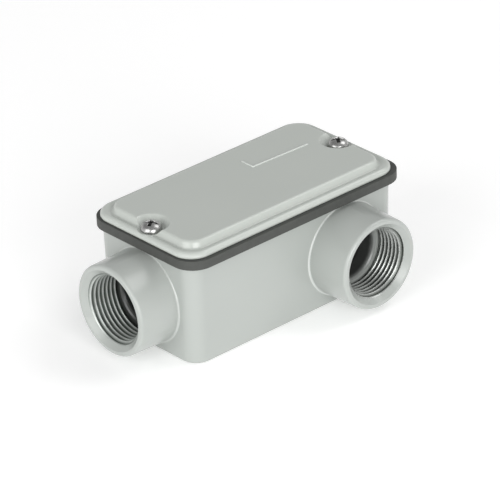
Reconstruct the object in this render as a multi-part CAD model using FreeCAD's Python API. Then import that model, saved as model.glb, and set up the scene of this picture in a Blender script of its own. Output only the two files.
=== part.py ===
# Cast conduit body with two threaded hubs, a rubber gasket, a screwed cover and its two screws.
# Millimetres.  X runs along the body, the end hub points to -X and the side hub to -Y.
# Z is up, and z = 0 is the flat back of the casting, which bears on the wall or bench.
import FreeCAD
import Part
import math
import os

# Casting
BODY_LENGTH = 97.0        # outside, at the cover face
BODY_WIDTH = 50.0         # outside, at the cover face
BODY_HEIGHT = 38.4        # back to cover face
CORNER_RADIUS = 6.0       # vertical corners, outside
DRAFT = 0.7               # each wall leans in by this much at the back
WALL = 3.0
FLOOR = 3.0
BACK_EDGE_RADIUS = 0.9

# Hubs, 3/4-14 straight pipe thread
END_HUB_REACH = 16.3      # mouth beyond the end wall
SIDE_HUB_REACH = 17.5     # mouth beyond the side wall
SIDE_HUB_SETBACK = 25.0   # its axis, in from the far end wall
HUB_WALL = 3.7            # barrel at its mouth, outside the thread
HUB_TAPER = 0.4           # added to the barrel's radius at the wall
HUB_BACK_MARGIN = 2.2     # wall left below the barrel
HUB_ROOT_FLARE = 1.2
HUB_LIP_RADIUS = 1.2
THREAD_RADIUS = 13.3      # major radius of the thread
MOUTH_CHAMFER = 1.8
THREAD_DEPTH = 14.4       # from the mouth to the bushing shoulder
BUSHING_RADIUS = 10.4     # smooth throat that the wires pass
BUSHING_ROUND = 1.8

# Cover screws, 8-32 pan heads
SCREW_INSET = 4.3         # screw axis, in from the end wall's outside
SCREW_RADIUS = 2.03
SCREW_HEAD_RADIUS = 3.9
SCREW_HEAD_HEIGHT = 3.2
SCREW_HEAD_EDGE = 0.9     # straight part of the head under its dome
SCREW_REACH = 6.0         # thread engaged in the casting
SCREW_TIP_CHAMFER = 0.5
RECESS_SPAN = 4.3
RECESS_SLOT = 1.0
RECESS_DEPTH = 1.7
TAPPED_CLEARANCE = 0.07   # radial, screw in its tapped hole
TAPPED_SPARE = 0.8        # hole left below the tip
BOSS_RADIUS = 4.8
BOSS_FLOOR = 1.2          # metal under the tapped hole
SEAT_CLEARANCE = 0.27     # radial, screw through the cover and gasket

# Gasket
GASKET_THICKNESS = 3.4
GASKET_OVERHANG = 2.5     # beyond the casting all round
GASKET_SHIFT = 0.6        # it lies a little towards the far end
GASKET_LAP = 1.2          # inside the walls
BOSS_LAP = 1.6            # gasket beyond the boss

# Cover
COVER_OVERHANG = 1.1
COVER_CORNER_RADIUS = 8.0
FLANGE_HEIGHT = 2.4
FLANGE_ROUND = 1.5
FLANGE_UNDERCUT = 0.6
STEP_INSET = 3.0          # flange width, to the foot of the raised panel
GROOVE_DEPTH = 0.55        # the flange falls this much towards the foot
GROOVE_ROUND = 0.7
SHOULDER_SLOPE = 68.0     # degrees from level
SHOULDER_ROUND = 1.3
PANEL_CORNER_EASE = 0.5   # how fast the corners tighten towards the panel
PANEL_HEIGHT = 4.5
COVER_SKIN = 2.4
COVER_RIM = 5.4           # solid rim that bears on the gasket
POCKET_RADIUS = 4.3       # flat floor round each screw head
POCKET_SLOPE = 50.0
POCKET_FILLET = 0.5
POCKET_BRIM = 1.0
ARC_STEPS = 4             # facets in each small rounding

# Sizes that follow from the ones above
HUB_MOUTH_RADIUS = THREAD_RADIUS + HUB_WALL
HUB_ROOT_RADIUS = HUB_MOUTH_RADIUS + HUB_TAPER
HUB_AXIS_HEIGHT = HUB_BACK_MARGIN + HUB_ROOT_RADIUS
SIDE_HUB_X = BODY_LENGTH / 2.0 - SIDE_HUB_SETBACK
SCREW_X = BODY_LENGTH / 2.0 - SCREW_INSET

UP = FreeCAD.Vector(0, 0, 1)


def outline(length, width, radius, z, x=0.0):
    """Closed rounded rectangle, centred on x."""
    a = length / 2.0
    b = width / 2.0
    d = radius * (1.0 - math.sqrt(0.5))
    v = FreeCAD.Vector
    edges = []
    for sx, sy in ((1, 1), (-1, 1), (-1, -1), (1, -1)):
        side = v(x + sx * a, sy * (b - radius), z)
        middle = v(x + sx * (a - d), sy * (b - d), z)
        end = v(x + sx * (a - radius), sy * b, z)
        corner = [side, middle, end] if sx * sy > 0 else [end, middle, side]
        edges.append(Part.Arc(*corner).toShape())
    joined = []
    for i in range(4):
        joined.append(edges[i])
        start = edges[i].Vertexes[-1].Point
        finish = edges[(i + 1) % 4].Vertexes[0].Point
        joined.append(Part.makeLine(start, finish))
    return Part.Wire(joined)


def block(length, width, radius, z, height, x=0.0):
    """Straight rounded block."""
    return Part.Face(outline(length, width, radius, z, x)).extrude(UP * height)


def leaning_block(low, high):
    """Block between two outlines, each (length, width, radius, z)."""
    return Part.makeLoft([outline(*low), outline(*high)], True, True)


def arc(centre_u, centre_v, radius, start, finish, steps=ARC_STEPS):
    """Points of an arc in a section, from one angle to another in degrees."""
    points = []
    for i in range(steps + 1):
        a = math.radians(start + (finish - start) * i / steps)
        points.append((centre_u + radius * math.cos(a), centre_v + radius * math.sin(a)))
    return points


def moulded(length, width, radius, section, ease=0.0):
    """Solid whose outline shrinks by the section's inset at each of its heights."""
    wires = [outline(length - 2 * u, width - 2 * u, radius - ease * u, z) for u, z in section]
    return Part.makeLoft(wires, True, True)


def lean_at(z):
    """Inset of the walls at height z, from the draft."""
    return DRAFT * (BODY_HEIGHT - z) / BODY_HEIGHT


def spun(points, origin, direction):
    """Solid of revolution about a hub axis: points are (distance along it, radius)."""
    side = FreeCAD.Vector(0, 0, 1)
    path = [origin + direction * p[0] + side * p[1] for p in points]
    face = Part.Face(Part.makePolygon(path + [path[0]]))
    return face.revolve(origin, direction, 360)


def hub_places():
    """Mouth centre, inward direction, reach and casting half size of each hub."""
    end = FreeCAD.Vector(-BODY_LENGTH / 2.0 - END_HUB_REACH, 0, HUB_AXIS_HEIGHT)
    side = FreeCAD.Vector(SIDE_HUB_X, -BODY_WIDTH / 2.0 - SIDE_HUB_REACH, HUB_AXIS_HEIGHT)
    return [(end, FreeCAD.Vector(1, 0, 0), END_HUB_REACH),
            (side, FreeCAD.Vector(0, 1, 0), SIDE_HUB_REACH)]


def hub_barrel(mouth, inward, reach):
    """Tapered barrel with a rounded lip and a flared root that runs into the wall."""
    e = HUB_LIP_RADIUS
    f = HUB_ROOT_FLARE
    r = HUB_MOUTH_RADIUS
    points = [(0, 0)]
    points += [(u, v) for u, v in arc(e, r - e, e, 180, 90)]
    points += arc(reach - f + DRAFT, HUB_ROOT_RADIUS + f, f, -90, -10)
    points += [(reach + WALL * 0.6, points[-1][1]), (reach + WALL * 0.6, 0)]
    return spun(points, mouth, inward)


def faced_off(barrel):
    """Barrel without what would stand above the cover face."""
    box = barrel.BoundBox
    low = FreeCAD.Vector(box.XMin - 1.0, box.YMin - 1.0, box.ZMin - 1.0)
    return barrel.common(Part.makeBox(box.XLength + 2.0, box.YLength + 2.0, BODY_HEIGHT - low.z, low))


def hub_bore(mouth, inward, reach):
    """Thread bore with its mouth chamfer, then the rounded throat of the bushing."""
    r = THREAD_RADIUS
    c = MOUTH_CHAMFER
    inside = reach + WALL + DRAFT
    b = BUSHING_ROUND
    points = [(-1.0, 0), (-1.0, r + c + 1.0), (c, r), (THREAD_DEPTH, r)]
    points += arc(THREAD_DEPTH + b, BUSHING_RADIUS + b, b, 180, 270)
    points += [(inside + 1.0, BUSHING_RADIUS), (inside + 1.0, 0)]
    return spun(points, mouth, inward)


def screw_signs():
    return (-1, 1)


def boss_height():
    return SCREW_REACH + TAPPED_SPARE + BOSS_FLOOR


def boss(sign, z, height, outer):
    """Screw boss, joined to the end wall and kept inside the casting."""
    low = z - height
    post = Part.makeCylinder(BOSS_RADIUS, height, FreeCAD.Vector(sign * SCREW_X, 0, low))
    depth = BODY_LENGTH / 2.0 - SCREW_X
    start = SCREW_X if sign > 0 else -SCREW_X - depth
    web = Part.makeBox(depth, 2 * BOSS_RADIUS, height, FreeCAD.Vector(start, -BOSS_RADIUS, low))
    return post.fuse(web).common(outer)


def body_casting():
    e = BACK_EDGE_RADIUS
    section = [(u + DRAFT, z) for u, z in arc(e, e, e, 270, 180)] + [(0, BODY_HEIGHT)]
    outer = moulded(BODY_LENGTH, BODY_WIDTH, CORNER_RADIUS, section)
    lean = WALL + lean_at(FLOOR)
    inner_radius = CORNER_RADIUS - WALL
    cavity = leaning_block(
        (BODY_LENGTH - 2 * lean, BODY_WIDTH - 2 * lean, inner_radius, FLOOR),
        (BODY_LENGTH - 2 * WALL, BODY_WIDTH - 2 * WALL, inner_radius, BODY_HEIGHT))
    shell = outer
    for mouth, inward, reach in hub_places():
        shell = shell.fuse(faced_off(hub_barrel(mouth, inward, reach)))
    shell = shell.cut(cavity)
    for sign in screw_signs():
        shell = shell.fuse(boss(sign, BODY_HEIGHT, boss_height(), outer))
    for mouth, inward, reach in hub_places():
        shell = shell.cut(hub_bore(mouth, inward, reach))
    for sign in screw_signs():
        depth = SCREW_REACH + TAPPED_SPARE
        bottom = FreeCAD.Vector(sign * SCREW_X, 0, BODY_HEIGHT - depth)
        shell = shell.cut(Part.makeCylinder(SCREW_RADIUS + TAPPED_CLEARANCE, depth + 1.0, bottom))
    return shell.removeSplitter()


def gasket():
    over = 2 * GASKET_OVERHANG
    z = BODY_HEIGHT
    ring = block(BODY_LENGTH + over, BODY_WIDTH + over, CORNER_RADIUS + GASKET_OVERHANG,
                 z, GASKET_THICKNESS, GASKET_SHIFT)
    length = 2 * (SCREW_X - BOSS_RADIUS - BOSS_LAP)
    width = BODY_WIDTH - 2 * (WALL + GASKET_LAP)
    ring = ring.cut(block(length, width, CORNER_RADIUS, z - 1, GASKET_THICKNESS + 2))
    for sign in screw_signs():
        spot = FreeCAD.Vector(sign * SCREW_X, 0, z - 1)
        ring = ring.cut(Part.makeCylinder(SCREW_RADIUS + SEAT_CLEARANCE, GASKET_THICKNESS + 2, spot))
    return ring


def pocket(seat, depth):
    """Round hollow for a screw head: flat floor, leaning wall and a rounded brim."""
    g = POCKET_FILLET
    h = POCKET_BRIM
    lean = math.radians(POCKET_SLOPE)
    rise = depth - (g + h) * (1 - math.cos(lean))
    brim = POCKET_RADIUS + (g + h) * math.sin(lean) + rise / math.tan(lean)
    points = [(0, 0)] + arc(POCKET_RADIUS, g, g, -90, POCKET_SLOPE - 90, 2)
    points += arc(brim, depth - h, h, POCKET_SLOPE + 90, 90)
    points += [(brim, depth + 1), (0, depth + 1)]
    path = [seat + FreeCAD.Vector(p[0], 0, p[1]) for p in points]
    return Part.Face(Part.makePolygon(path + [path[0]])).revolve(seat, UP, 360)


def cover():
    z = BODY_HEIGHT + GASKET_THICKNESS
    length = BODY_LENGTH + 2 * COVER_OVERHANG
    width = BODY_WIDTH + 2 * COVER_OVERHANG
    e = FLANGE_UNDERCUT
    f = FLANGE_ROUND
    g = GROOVE_ROUND
    h = SHOULDER_ROUND
    lean = math.radians(SHOULDER_SLOPE)
    floor = FLANGE_HEIGHT - GROOVE_DEPTH
    rise = PANEL_HEIGHT - floor - (g + h) * (1 - math.cos(lean))
    top_u = STEP_INSET + (g + h) * math.sin(lean) + rise / math.tan(lean)
    section = arc(e, e, e, 270, 180, 2) + arc(f, FLANGE_HEIGHT - f, f, 180, 90)
    section += arc(STEP_INSET, floor + g, g, -90, SHOULDER_SLOPE - 90, 3)
    section += arc(top_u, PANEL_HEIGHT - h, h, SHOULDER_SLOPE + 90, 90)
    lid = moulded(length, width, COVER_CORNER_RADIUS, [(u, z + v) for u, v in section], PANEL_CORNER_EASE)
    for sign in screw_signs():
        seat = FreeCAD.Vector(sign * SCREW_X, 0, z + floor)
        lid = lid.cut(pocket(seat, PANEL_HEIGHT - floor))
    hollow_length = 2 * (SCREW_X - BOSS_RADIUS - BOSS_LAP)
    hollow = block(hollow_length, width - 2 * COVER_RIM, COVER_CORNER_RADIUS / 2.0,
                   z - 1, PANEL_HEIGHT - COVER_SKIN + 1)
    lid = lid.cut(hollow)
    for sign in screw_signs():
        spot = FreeCAD.Vector(sign * SCREW_X, 0, z - 1)
        lid = lid.cut(Part.makeCylinder(SCREW_RADIUS + SEAT_CLEARANCE, PANEL_HEIGHT + 2, spot))
    return lid.removeSplitter()


def cover_screw(sign):
    """Pan head screw with a cross recess; its plain shank has the thread's outer size."""
    seat = BODY_HEIGHT + GASKET_THICKNESS + FLANGE_HEIGHT - GROOVE_DEPTH
    length = seat - BODY_HEIGHT + SCREW_REACH
    c = SCREW_TIP_CHAMFER
    r = SCREW_HEAD_RADIUS
    rise = SCREW_HEAD_HEIGHT - SCREW_HEAD_EDGE
    points = [(0, -length), (SCREW_RADIUS - c, -length), (SCREW_RADIUS, -length + c), (SCREW_RADIUS, 0)]
    points += [(r, 0), (r, SCREW_HEAD_EDGE)]
    steps = 5
    for i in range(1, steps + 1):
        a = math.pi / 2.0 * i / steps
        points.append((r * math.cos(a) ** 0.8 if i < steps else 0.0, SCREW_HEAD_EDGE + rise * math.sin(a)))
    place = FreeCAD.Vector(sign * SCREW_X, 0, seat)
    path = [place + FreeCAD.Vector(p[0], 0, p[1]) for p in points]
    screw = Part.Face(Part.makePolygon(path + [path[0]])).revolve(place, UP, 360)
    top = SCREW_HEAD_HEIGHT
    cone = Part.makeCone(RECESS_SLOT / 2.0, RECESS_SPAN / 2.0 + 0.2, RECESS_DEPTH + 0.2,
                         place + UP * (top - RECESS_DEPTH))
    for turn in (0, 90):
        slot = Part.makeBox(RECESS_SPAN + 1, RECESS_SLOT, RECESS_DEPTH + 1)
        slot.translate(FreeCAD.Vector(-(RECESS_SPAN + 1) / 2.0, -RECESS_SLOT / 2.0, 0))
        slot.rotate(FreeCAD.Vector(0, 0, 0), UP, turn + 30)
        slot.translate(place + UP * (top - RECESS_DEPTH))
        screw = screw.cut(slot.common(cone))
    return screw


def main():
    os.makedirs("parts", exist_ok=True)
    shapes = {
        "body_casting": body_casting(),
        "gasket": gasket(),
        "cover": cover(),
        "cover_screw_left": cover_screw(-1),
        "cover_screw_right": cover_screw(1),
    }
    for name, shape in shapes.items():
        print(name, shape.ShapeType, len(shape.Solids), shape.isValid(), round(shape.Volume, 1), shape.BoundBox)
        shape.exportStep("parts/" + name + ".step")


main()
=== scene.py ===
import math
import bmesh
import bpy
import numpy as np
from mathutils import Matrix, Vector


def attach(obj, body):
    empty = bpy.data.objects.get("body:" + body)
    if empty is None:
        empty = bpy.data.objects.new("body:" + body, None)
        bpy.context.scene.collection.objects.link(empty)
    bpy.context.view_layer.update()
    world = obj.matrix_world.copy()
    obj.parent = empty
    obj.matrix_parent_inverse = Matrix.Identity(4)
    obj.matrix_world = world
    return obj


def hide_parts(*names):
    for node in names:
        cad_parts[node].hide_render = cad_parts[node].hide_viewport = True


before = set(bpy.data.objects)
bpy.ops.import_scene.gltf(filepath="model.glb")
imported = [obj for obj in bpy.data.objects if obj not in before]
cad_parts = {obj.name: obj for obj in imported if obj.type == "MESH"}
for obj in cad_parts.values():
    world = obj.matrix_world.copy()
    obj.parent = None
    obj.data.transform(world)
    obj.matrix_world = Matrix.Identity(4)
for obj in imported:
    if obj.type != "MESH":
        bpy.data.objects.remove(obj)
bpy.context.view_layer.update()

mm = 0.001
print("frame loaded:", sorted(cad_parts))

meshCare = dict(mergeGap=2e-7, thinEdge=1e-7)


# A closed grid of points (rows, columns, 3) in millimetres becomes one mesh of quads.
# The columns always close on themselves; the rows close too when wrapRows is set.
# groove holds one value from 0 to 1 for each point, kept as an attribute for the finish's painted shade.
def meshFromGrid(name, points, wrapRows, groove=None):
    rows, columns = points.shape[:2]
    index = np.arange(rows * columns).reshape(rows, columns)
    below = np.roll(index, -1, axis=0) if wrapRows else index[1:]
    here = index if wrapRows else index[:-1]
    quads = np.stack([here, np.roll(here, -1, axis=1), np.roll(below, -1, axis=1), below], axis=-1)
    mesh = bpy.data.meshes.new(name)
    mesh.from_pydata((points.reshape(-1, 3) * mm).tolist(), [], quads.reshape(-1, 4).tolist())
    if groove is not None:
        values = mesh.attributes.new("groove", "FLOAT", "POINT")
        values.data.foreach_set("value", groove.ravel().astype(np.float32))
    shell = bmesh.new()
    shell.from_mesh(mesh)
    bmesh.ops.remove_doubles(shell, verts=shell.verts, dist=meshCare["mergeGap"])
    bmesh.ops.dissolve_degenerate(shell, edges=shell.edges, dist=meshCare["thinEdge"])
    bmesh.ops.recalc_face_normals(shell, faces=shell.faces)
    shell.to_mesh(mesh)
    shell.free()
    mesh.shade_smooth()
    piece = bpy.data.objects.new(name, mesh)
    bpy.context.scene.collection.objects.link(piece)
    return piece


# From 0 to 1 between the two ends by three times the square less twice the cube, level at both.
def eased(value, start, end):
    share = np.clip((value - start) / (end - start), 0.0, 1.0)
    return share * share * (3.0 - 2.0 * share)


# Puts one finish into every material slot of a piece.
def dress(piece, look):
    if not piece.material_slots:
        piece.data.materials.append(look)
    for place in piece.material_slots:
        place.material = look


# The nodes that a finish is built from, with every input either a number or another node's output.
class FinishNodes:
    def __init__(self, look):
        self.nodes, self.links = look.node_tree.nodes, look.node_tree.links
        self.where = self.nodes.new("ShaderNodeTexCoord")

    # Noise over the object's own coordinates.
    def cloud(self, scale, detail):
        node = self.nodes.new("ShaderNodeTexNoise")
        node.inputs["Scale"].default_value = scale
        node.inputs["Detail"].default_value = detail
        node.inputs["Roughness"].default_value = cloudFalloff
        self.links.new(self.where.outputs["Object"], node.inputs["Vector"])
        return node.outputs["Fac"]

    # One sum of one or two values, of the kind that the Math node names.
    def reckon(self, kind, *values):
        node = self.nodes.new("ShaderNodeMath")
        node.operation = kind
        for place, value in zip(node.inputs, values):
            if isinstance(value, (int, float)):
                place.default_value = value
            else:
                self.links.new(value, place)
        return node.outputs["Value"]

    # 1 where the value lies above, or below, a limit in millimetres.
    def over(self, value, limit):
        return self.reckon("GREATER_THAN", value, limit * mm)

    def under(self, value, limit):
        return self.reckon("LESS_THAN", value, limit * mm)

    # The product of all the shares.
    def every(self, first, *others):
        for other in others:
            first = self.reckon("MULTIPLY", first, other)
        return first

    # The larger of two shares.
    def either(self, first, second):
        return self.reckon("MAXIMUM", first, second)

    # One colour laid over another by a share.
    def mixed(self, share, colour, other):
        node = self.nodes.new("ShaderNodeMix")
        node.data_type = "RGBA"
        places = [place for place in node.inputs if place.enabled]
        self.links.new(share, places[0])
        self.links.new(colour, places[1])
        places[2].default_value = (*other, 1.0)
        return [place for place in node.outputs if place.enabled][0]


# Painted shade on the casting's inside and a painted highlight line at each hub's root, each a zone of space:
# by distance from the middle planes for the chamber, and from the hub's axis (the root of the
# squares' sum) for the throats and the root lines.
def castingZones(kit, colour, facts):
    apart = kit.nodes.new("ShaderNodeSeparateXYZ")
    kit.links.new(kit.where.outputs["Object"], apart.inputs["Vector"])
    x, y, z = (apart.outputs[axis] for axis in "XYZ")
    level = kit.reckon("SUBTRACT", z, facts["hubHeight"] * mm)

    def fromAxis(value, middle):
        offset = kit.reckon("SUBTRACT", value, middle * mm)
        squares = kit.reckon("ADD", kit.every(offset, offset), kit.every(level, level))
        return kit.reckon("SQRT", squares)

    sideway, endway = fromAxis(x, facts["sideHubX"]), fromAxis(y, 0.0)
    halfLength, halfWidth = facts["chamberHalf"]
    chamber = kit.every(kit.under(kit.reckon("ABSOLUTE", x), halfLength),
                        kit.under(kit.reckon("ABSOLUTE", y), halfWidth),
                        kit.over(z, facts["chamberFloor"]))

    # Painted shade: the side bushing darkens evenly towards its throat.
    shade = kit.reckon("SUBTRACT", facts["bushingEdge"] * mm, sideway)
    shade = kit.reckon("DIVIDE", shade, facts["bushingFade"] * mm)
    shade = kit.reckon("MINIMUM", kit.reckon("MAXIMUM", shade, 0.0), 1.0)
    sideThroat = kit.every(shade, kit.over(y, facts["sideBushingY"]), kit.under(y, 0.0))
    endThroat = kit.every(kit.under(endway, facts["endThroatRadius"]),
                          kit.over(x, facts["endThroatX"]), kit.under(x, 0.0))
    # The chamber and both throats are painted near black as painted shade.
    insideShade = kit.either(chamber, kit.either(sideThroat, endThroat))
    colour = kit.mixed(insideShade, colour, facts["insideShadeTone"])

    # Painted highlight: a lighter band of tone round each hub's root, fainter on the end hub.
    low, high = facts["rootBand"]
    sideRootHighlight = kit.every(kit.over(sideway, low), kit.under(sideway, high), kit.under(y, facts["sideRootY"]),
                         kit.over(y, facts["sideRootY"] - facts["rootReach"]))
    endRootHighlight = kit.every(kit.over(endway, low), kit.under(endway, high), kit.under(x, facts["endRootX"]),
                        kit.over(x, facts["endRootX"] - facts["rootReach"]), facts["endRootShare"])
    return kit.mixed(kit.either(sideRootHighlight, endRootHighlight), colour, facts["rootHighlightTone"])


# A shader with one noise for the tone, one for the gloss and one for the grain, all in object space.
# Zones of the casting and the groove attribute change the tone where the facts name them.
def finishFrom(name, facts):
    look = bpy.data.materials.new(name)
    look.use_nodes = True
    shader = look.node_tree.nodes["Principled BSDF"]
    kit = FinishNodes(look)

    tone = kit.nodes.new("ShaderNodeValToRGB")
    dark, light = tone.color_ramp.elements
    dark.position, light.position = facts["toneSpan"]
    dark.color, light.color = (*facts["toneDark"], 1.0), (*facts["toneLight"], 1.0)
    kit.links.new(kit.cloud(facts["toneScale"], facts["toneDetail"]), tone.inputs["Fac"])
    colour = tone.outputs["Color"]
    if "zones" in facts:
        colour = castingZones(kit, colour, facts["zones"])
    # Painted shade: the groove attribute darkens the hollows of threads and the screws' recesses.
    if "grooveShadeTone" in facts:  # the hollows of a thread or a recess are darker than its crests
        groove = kit.nodes.new("ShaderNodeAttribute")
        groove.attribute_name = "groove"
        colour = kit.mixed(groove.outputs["Fac"], colour, facts["grooveShadeTone"])
    kit.links.new(colour, shader.inputs["Base Color"])

    gloss = kit.nodes.new("ShaderNodeMapRange")
    gloss.inputs["From Min"].default_value, gloss.inputs["From Max"].default_value = glossSpan
    gloss.inputs["To Min"].default_value, gloss.inputs["To Max"].default_value = facts["roughness"]
    kit.links.new(kit.cloud(facts["glossScale"], fineDetail), gloss.inputs["Value"])
    kit.links.new(gloss.outputs["Result"], shader.inputs["Roughness"])

    grain = kit.nodes.new("ShaderNodeBump")
    grain.inputs["Strength"].default_value = facts["grainStrength"]
    grain.inputs["Distance"].default_value = facts["grainDepth"] * mm
    kit.links.new(kit.cloud(facts["grainScale"], fineDetail), grain.inputs["Height"])
    kit.links.new(grain.outputs["Normal"], shader.inputs["Normal"])

    shader.inputs["Metallic"].default_value = facts["metallic"]
    shader.inputs["Specular IOR Level"].default_value = facts["specular"]
    shader.inputs["Coat Weight"].default_value = facts["coat"]
    shader.inputs["Coat Roughness"].default_value = facts["coatRoughness"]
    return look


cloudFalloff, fineDetail, glossSpan = 0.55, 2.0, (0.15, 0.85)

satinPaint = dict(  # what all painted pieces share
    toneSpan=(0.15, 0.85), toneScale=30, toneDetail=1.0, roughness=(0.27, 0.31), glossScale=140,
    grainStrength=0.03, grainDepth=0.03, grainScale=2500, metallic=0.0, specular=0.5, coat=0.35,
    coatRoughness=0.20,
)
cutThread = dict(  # what both hubs' threads share
    toneSpan=(0.3, 0.7), toneScale=350, toneDetail=3.0, glossScale=700, grainStrength=0.10,
    grainDepth=0.04, grainScale=2500, specular=0.5, coat=0.0, coatRoughness=0.1,
)
# The inside tone is painted shade in the chamber and throats; the root tone is a painted highlight line.
castingInside = dict(  # millimetres, apart from the tones and the share
    chamberHalf=(45.8, 22.3), chamberFloor=1.5, hubHeight=19.6, sideHubX=23.5,
    bushingEdge=12.2, bushingFade=1.9, sideBushingY=-28.2, endThroatRadius=13.6, endThroatX=-50.6,
    insideShadeTone=(0.045, 0.048, 0.045), rootBand=(17.43, 17.9), rootReach=1.6, sideRootY=-23.9,
    endRootX=-47.4, rootHighlightTone=(0.56, 0.58, 0.56), endRootShare=0.4,
)
finishes = {
    "castingPaint": dict(
        satinPaint, toneDark=(0.372, 0.394, 0.374), toneLight=(0.390, 0.412, 0.392), zones=castingInside),
    # The cover is the casting's grey painted lighter: a lit copy standing in for more light than the hub tops
    # get.
    "coverLitPaint": dict(satinPaint, toneDark=(0.466, 0.494, 0.462), toneLight=(0.482, 0.510, 0.478)),
    # The raised label line is painted lighter than the cover as a painted highlight along its ridge.
    "labelHighlightPaint": dict(satinPaint, toneDark=(0.57, 0.60, 0.57), toneLight=(0.60, 0.63, 0.60)),
    "gasketRubber": dict(
        toneDark=(0.050, 0.053, 0.049), toneLight=(0.064, 0.067, 0.062), toneSpan=(0.15, 0.85),
        toneScale=300, toneDetail=3.0, roughness=(0.55, 0.68), glossScale=500, grainStrength=0.25,
        grainDepth=0.08, grainScale=2200, metallic=0.0, specular=0.4, coat=0.0, coatRoughness=0.3),
    "screwPlating": dict(
        toneDark=(0.34, 0.34, 0.335), toneLight=(0.50, 0.50, 0.49), toneSpan=(0.3, 0.7),
        grooveShadeTone=(0.05, 0.05, 0.05), toneScale=500, toneDetail=2.0, roughness=(0.22, 0.32),
        glossScale=900, grainStrength=0.08, grainDepth=0.04, grainScale=2500, metallic=1.0,
        specular=0.5, coat=0.0, coatRoughness=0.1),
    "threadMetal": dict(
        cutThread, toneDark=(0.46, 0.49, 0.47), toneLight=(0.60, 0.63, 0.60),
        grooveShadeTone=(0.085, 0.10, 0.088), roughness=(0.28, 0.40), metallic=0.45),
    # The side hub's thread is the end hub's metal painted lighter: a lit copy with painted highlights.
    "threadLitCopy": dict(
        cutThread, toneDark=(0.54, 0.56, 0.54), toneLight=(0.68, 0.70, 0.68),
        grooveShadeTone=(0.045, 0.055, 0.045), roughness=(0.22, 0.34), metallic=0.6),
}
looks = {name: finishFrom(name, facts) for name, facts in finishes.items()}

nodeLooks = {
    "body_casting": "castingPaint", "cover": "coverLitPaint", "gasket": "gasketRubber",
    "cover_screw_left": "screwPlating", "cover_screw_right": "screwPlating",
}
for node, look in nodeLooks.items():
    dress(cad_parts[node], looks[look])
print("finishes made:", ", ".join(looks))


# Both hubs have the same pipe thread. All lengths are in millimetres.
hubThread = dict(
    rootRadius=13.26, crestRadius=12.2, backRadius=13.34, pitch=1.814, firstDepth=1.74, lastDepth=14.36,
    mouthRadius=15.1, crestShare=0.12, rootShare=0.20, shade=0.6, runOut=1.0, rowsPerPitch=18, columns=144,
)
hubMouths = {
    "end_hub_pipe_thread": dict(
        mouth=(-64.8, 0, castingInside["hubHeight"]), inward=(1, 0, 0), across=(0, 0, 1), look="threadMetal"),
    "side_hub_pipe_thread": dict(
        mouth=(castingInside["sideHubX"], -42.5, castingInside["hubHeight"]), inward=(0, 1, 0),
        across=(0, 0, 1), look="threadLitCopy"),
}


# Depth runs along the rows and the angle along the columns. The radius drops from the root to the
# crest by a trapezoid of the phase, depth over pitch less the turned share. The mouth's bevel cuts
# the first ridges off and the last one fades out.
# The same rows go back along the outer wall, so the sleeve is closed.
def threadSleeve(name, place, facts):
    count = int((facts["lastDepth"] - facts["firstDepth"]) / facts["pitch"] * facts["rowsPerPitch"])
    depth = np.linspace(facts["firstDepth"], facts["lastDepth"], count)[:, None]
    turn = np.linspace(0.0, 2.0 * math.pi, facts["columns"], endpoint=False)[None, :]
    phase = np.mod(depth / facts["pitch"] - turn / (2.0 * math.pi), 1.0)
    fromCrest = np.abs(phase - 0.5)
    flat, foot = facts["crestShare"] / 2.0, 0.5 - facts["rootShare"] / 2.0
    ridge = 1.0 - np.clip((fromCrest - flat) / (foot - flat), 0.0, 1.0)
    ridge = ridge * (1.0 - eased(depth, facts["lastDepth"] - facts["runOut"], facts["lastDepth"]))

    inner = facts["rootRadius"] - (facts["rootRadius"] - facts["crestRadius"]) * ridge
    inner = np.maximum(inner, np.minimum(facts["mouthRadius"] - depth, facts["rootRadius"]))
    outer = np.full((2, facts["columns"]), facts["backRadius"])
    radius = np.concatenate([inner, outer])
    along = np.concatenate([depth, depth[-1:], depth[:1]])[..., None]
    # The groove share paints shade into the thread's hollows.
    groove = np.concatenate([np.power(1.0 - ridge, facts["shade"]), np.zeros_like(outer)])

    mouth, inward, across = (np.array(place[key], float) for key in ("mouth", "inward", "across"))
    other = np.cross(inward, across)
    spoke = np.cos(turn)[..., None] * across + np.sin(turn)[..., None] * other
    sleeve = meshFromGrid(name, mouth + along * inward + radius[..., None] * spoke, True, groove)
    dress(sleeve, looks[place["look"]])
    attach(sleeve, "casting")
    return sleeve


for name, place in hubMouths.items():
    threadSleeve(name, place, hubThread)
print("pipe threads cut in both hubs")


# Both cover screws have the same shape. All lengths are in millimetres, and twists in radians.
coverScrew = dict(
    seatHeight=43.65, headRadius=3.88, headEdge=0.85, domeHeight=2.28, edgeRound=0.28, edgeSteps=6,
    domePower=2.3, domeRound=0.62, middleShare=0.7, middleRings=40, outerShares=(0.715, 0.97),
    outerRings=22, domeInset=0.2, slotHalf=0.56, slotReach=2.3, slotDepth=1.55, slotRise=0.45,
    wellRadius=0.95, wallEase=0.16, neckRadius=1.95, neckRound=0.2, plainNeck=0.7, neckGap=0.05,
    threadRadius=2.02, threadRoot=1.62, pitch=0.794, rowsPerPitch=10, tipHeight=32.42, tipGap=0.02,
    tipRound=0.55, columns=128,
)
screwPlaces = {
    "left_cover_screw": dict(x=-44.2, twist=0.55, replaced="cover_screw_left", body="screw_left"),
    "right_cover_screw": dict(x=44.2, twist=0.95, replaced="cover_screw_right", body="screw_right"),
}


# The cross recess, 1 in its arms and 0 outside: each arm is an eased band in one direction times an
# eased end in the other, and the well in the middle is an eased disc.
def crossRecess(east, north, reach, facts):
    ease = facts["wallEase"]

    def inside(value, limit):
        return 1.0 - eased(value, limit - ease, limit + ease)

    east, north = np.abs(east), np.abs(north)
    armEast = inside(north, facts["slotHalf"]) * inside(east, facts["slotReach"])
    armNorth = inside(east, facts["slotHalf"]) * inside(north, facts["slotReach"])
    return np.maximum(np.maximum(armEast, armNorth), inside(reach, facts["wellRadius"]))


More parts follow.
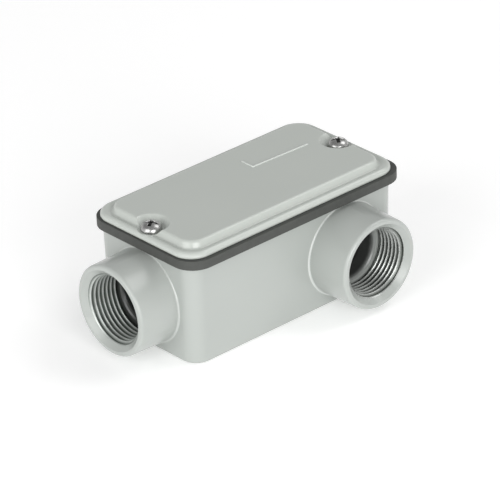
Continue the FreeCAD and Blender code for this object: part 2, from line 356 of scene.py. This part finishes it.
# Rings run from the middle of the dome to the rim, round the edge, under the head and down the shank.
# The dome is a power of one less a power of the radius, less a recess that gets shallower outwards.
# The shank's radius follows a triangle wave of height over pitch less the turned share.
def coverScrewPiece(name, place, facts):
    turn = np.linspace(0.0, 2.0 * math.pi, facts["columns"], endpoint=False)[None, :]
    head, seat, edge, neck = (facts[key] for key in ("headRadius", "seatHeight", "edgeRound", "neckRadius"))
    share = np.concatenate([np.linspace(0.0, facts["middleShare"], facts["middleRings"]),
                            np.linspace(*facts["outerShares"], facts["outerRings"])])[:, None]
    reach = share * (head - edge * facts["domeInset"])
    rimTop = seat + facts["headEdge"]
    crown = rimTop + facts["domeHeight"] * np.power(1.0 - share ** facts["domePower"], facts["domeRound"])
    east, north = reach * np.cos(turn - place["twist"]), reach * np.sin(turn - place["twist"])
    recess = crossRecess(east, north, reach, facts)
    sunk = recess * facts["slotDepth"] * (1.0 - facts["slotRise"] * reach / facts["slotReach"])

    corner = np.linspace(0.0, math.pi / 2, facts["edgeSteps"] + 1)[1:]
    lowerEdge = np.stack([head - edge * (1.0 - np.cos(corner)), seat + edge * (1.0 - np.sin(corner))], axis=1)
    under = [(neck + facts["neckRound"], seat), (neck, seat - facts["neckRound"]),
             (neck, seat - facts["plainNeck"])]
    side = np.concatenate([[(head, rimTop), (head, seat + edge)], lowerEdge, under])

    start, end = seat - facts["plainNeck"] - facts["neckGap"], facts["tipHeight"] + facts["tipGap"]
    fall = np.linspace(start, end, int((start - end) / facts["pitch"] * facts["rowsPerPitch"]))[:, None]
    phase = np.mod(fall / facts["pitch"] - turn / (2.0 * math.pi), 1.0)
    ridge = 1.0 - np.abs(phase - 0.5) * 2.0
    shank = facts["threadRoot"] + (facts["threadRadius"] - facts["threadRoot"]) * ridge
    shank = np.minimum(shank, facts["threadRoot"] - facts["tipRound"] + fall - end)

    around = np.ones_like(turn)
    radius = np.concatenate([reach * around, side[:, :1] * around, shank, 0.0 * around])
    height = np.concatenate([crown - sunk, side[:, 1:] * around, fall * around, facts["tipHeight"] * around])
    # The recess share paints shade into the screw's cross.
    groove = np.zeros_like(radius)
    groove[:len(recess)] = recess
    points = np.stack([place["x"] + radius * np.cos(turn), radius * np.sin(turn), height], axis=-1)
    screw = meshFromGrid(name, points, False, groove)
    dress(screw, looks["screwPlating"])
    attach(screw, place["body"])
    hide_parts(place["replaced"])
    return screw


for name, place in screwPlaces.items():
    coverScrewPiece(name, place, coverScrew)
print("cover screws turned and threaded")


# The raised line on the cover, in millimetres. The section's last two points lie under the panel.
labelBorder = dict(
    left=8.6, right=35.0, low=5.9, lean=1.0, high=12.6, width=0.62, rise=0.36, sink=0.3, panelHeight=46.3,
    shortSteps=9, longSteps=33, sectionAcross=(1.0, 0.92, 0.6, 0.0, -0.6, -0.92, -1.0, -1.0, 1.0),
    sectionLift=(0.0, 0.62, 0.95, 1.0, 0.95, 0.62, 0.0),
)


# A path of three corners is widened to both sides of its middle line by a low rounded section,
# which is mitred at the bend and shrinks to a point at both ends.
def labelBorderPiece(facts):
    start = np.array((facts["left"], facts["high"]))
    bend = np.array((facts["left"], facts["low"]))
    end = np.array((facts["right"], facts["low"] - facts["lean"]))
    short = facts["shortSteps"]
    steps = np.concatenate([np.linspace(start, bend, short), np.linspace(bend, end, facts["longSteps"])[1:]])
    side = np.zeros_like(steps)
    side[:short, 0] = 1.0
    side[short - 1:, 1] = 1.0
    taper = np.ones((len(steps), 1, 1))
    taper[0] = taper[-1] = 0.0
    across = np.array(facts["sectionAcross"]) * facts["width"] / 2.0
    lift = np.array((*(facts["rise"] * part for part in facts["sectionLift"]), -facts["sink"], -facts["sink"]))
    flat = steps[:, None, :] + side[:, None, :] * across[None, :, None] * taper
    height = facts["panelHeight"] + np.where(taper[..., 0] > 0.0, lift[None, :], -facts["sink"])
    border = meshFromGrid("label_border", np.concatenate([flat, height[..., None]], axis=-1), False)
    # The lighter finish is a painted highlight on the raised line.
    dress(border, looks["labelHighlightPaint"])
    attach(border, "cover")
    return border


labelBorderPiece(labelBorder)
print("label border laid on the cover")


# The studio is in metres, watts and sky strengths.
studio = dict(
    floorHalf=3.0, floorDrop=5e-5, floorTone=(0.96, 0.96, 0.96), floorGlow=0.21, floorRoughness=0.9,
    floorSpecular=0.1, skyTone=(1.0, 1.0, 1.0), horizonStrength=0.95, zenithStrength=0.42, zenithFrom=0.6,
    lightAim=(0.0, 0.0, 0.02),
)
lights = dict(
    keyLight=dict(place=(-0.56, -1.40, 0.48), size=0.9, power=12.6),
    rightLight=dict(place=(0.99, -0.46, 1.31), size=0.9, power=6.0),
    leftLight=dict(place=(-1.40, -0.20, 0.58), size=1.1, power=9.6),
)


# One pale square, a hair below the part, that glows a little.
def makeFloor(facts):
    half, low = facts["floorHalf"], -facts["floorDrop"]
    mesh = bpy.data.meshes.new("floor")
    mesh.from_pydata([(-half, -half, low), (half, -half, low), (half, half, low), (-half, half, low)],
                     [], [(0, 1, 2, 3)])
    floor = bpy.data.objects.new("floor", mesh)
    bpy.context.scene.collection.objects.link(floor)
    look = bpy.data.materials.new("paleFloor")
    look.use_nodes = True
    shader = look.node_tree.nodes["Principled BSDF"]
    shader.inputs["Base Color"].default_value = (*facts["floorTone"], 1.0)
    shader.inputs["Roughness"].default_value = facts["floorRoughness"]
    shader.inputs["Specular IOR Level"].default_value = facts["floorSpecular"]
    shader.inputs["Emission Color"].default_value = (1.0, 1.0, 1.0, 1.0)
    shader.inputs["Emission Strength"].default_value = facts["floorGlow"]
    dress(floor, look)
    return floor


# A square soft light that faces one point a little above the floor's middle.
def softLight(name, facts, aim):
    data = bpy.data.lights.new(name, "AREA")
    data.shape, data.size, data.energy = "SQUARE", facts["size"], facts["power"]
    lamp = bpy.data.objects.new(name, data)
    bpy.context.scene.collection.objects.link(lamp)
    lamp.location = facts["place"]
    lamp.rotation_euler = (Vector(aim) - Vector(facts["place"])).to_track_quat("-Z", "Y").to_euler()
    return lamp


# The surround is white at the horizon and falls off evenly towards the zenith.
def makeSky(facts):
    sky = bpy.data.worlds.new("studioSky")
    sky.use_nodes = True
    nodes, links = sky.node_tree.nodes, sky.node_tree.links
    where = nodes.new("ShaderNodeTexCoord")
    apart = nodes.new("ShaderNodeSeparateXYZ")
    links.new(where.outputs["Generated"], apart.inputs["Vector"])
    fall = nodes.new("ShaderNodeMapRange")
    fall.inputs["From Max"].default_value = facts["zenithFrom"]
    fall.inputs["To Min"].default_value = facts["horizonStrength"]
    fall.inputs["To Max"].default_value = facts["zenithStrength"]
    links.new(apart.outputs["Z"], fall.inputs["Value"])
    background = nodes["Background"]
    background.inputs["Color"].default_value = (*facts["skyTone"], 1.0)
    links.new(fall.outputs["Result"], background.inputs["Strength"])
    bpy.context.scene.world = sky


makeFloor(studio)
for name, facts in lights.items():
    softLight(name, facts, studio["lightAim"])
makeSky(studio)
print("studio lit")


# Angles are in degrees, lengths in metres, and the lens and sensor in millimetres.
viewpoint = dict(
    azimuth=-41.383, elevation=28.252, roll=-2.109, distance=1.039996,
    target=(-0.200328, -0.228045, 0.181638), lens=282.008016, sensor=36.0, clip=(0.05, 20.0),
)


# The camera's own back, right and up directions come from its azimuth, elevation and roll.
def makeCamera(facts):
    around, above, roll = (math.radians(facts[key]) for key in ("azimuth", "elevation", "roll"))
    back = Vector((math.sin(around) * math.cos(above), -math.cos(around) * math.cos(above), math.sin(above)))
    level = Vector((math.cos(around), math.sin(around), 0.0))
    rise = back.cross(level)
    right = level * math.cos(roll) + rise * math.sin(roll)
    up = -level * math.sin(roll) + rise * math.cos(roll)
    data = bpy.data.cameras.new("camera")
    data.sensor_width, data.lens = facts["sensor"], facts["lens"]
    data.clip_start, data.clip_end = facts["clip"]
    camera = bpy.data.objects.new("camera", data)
    bpy.context.scene.collection.objects.link(camera)
    turned = Matrix((right, up, back)).transposed().to_4x4()
    camera.matrix_world = Matrix.Translation(Vector(facts["target"]) + back * facts["distance"]) @ turned
    bpy.context.scene.camera = camera
    return camera


makeCamera(viewpoint)
bpy.context.scene.view_settings.view_transform = "Standard"
print("camera placed")
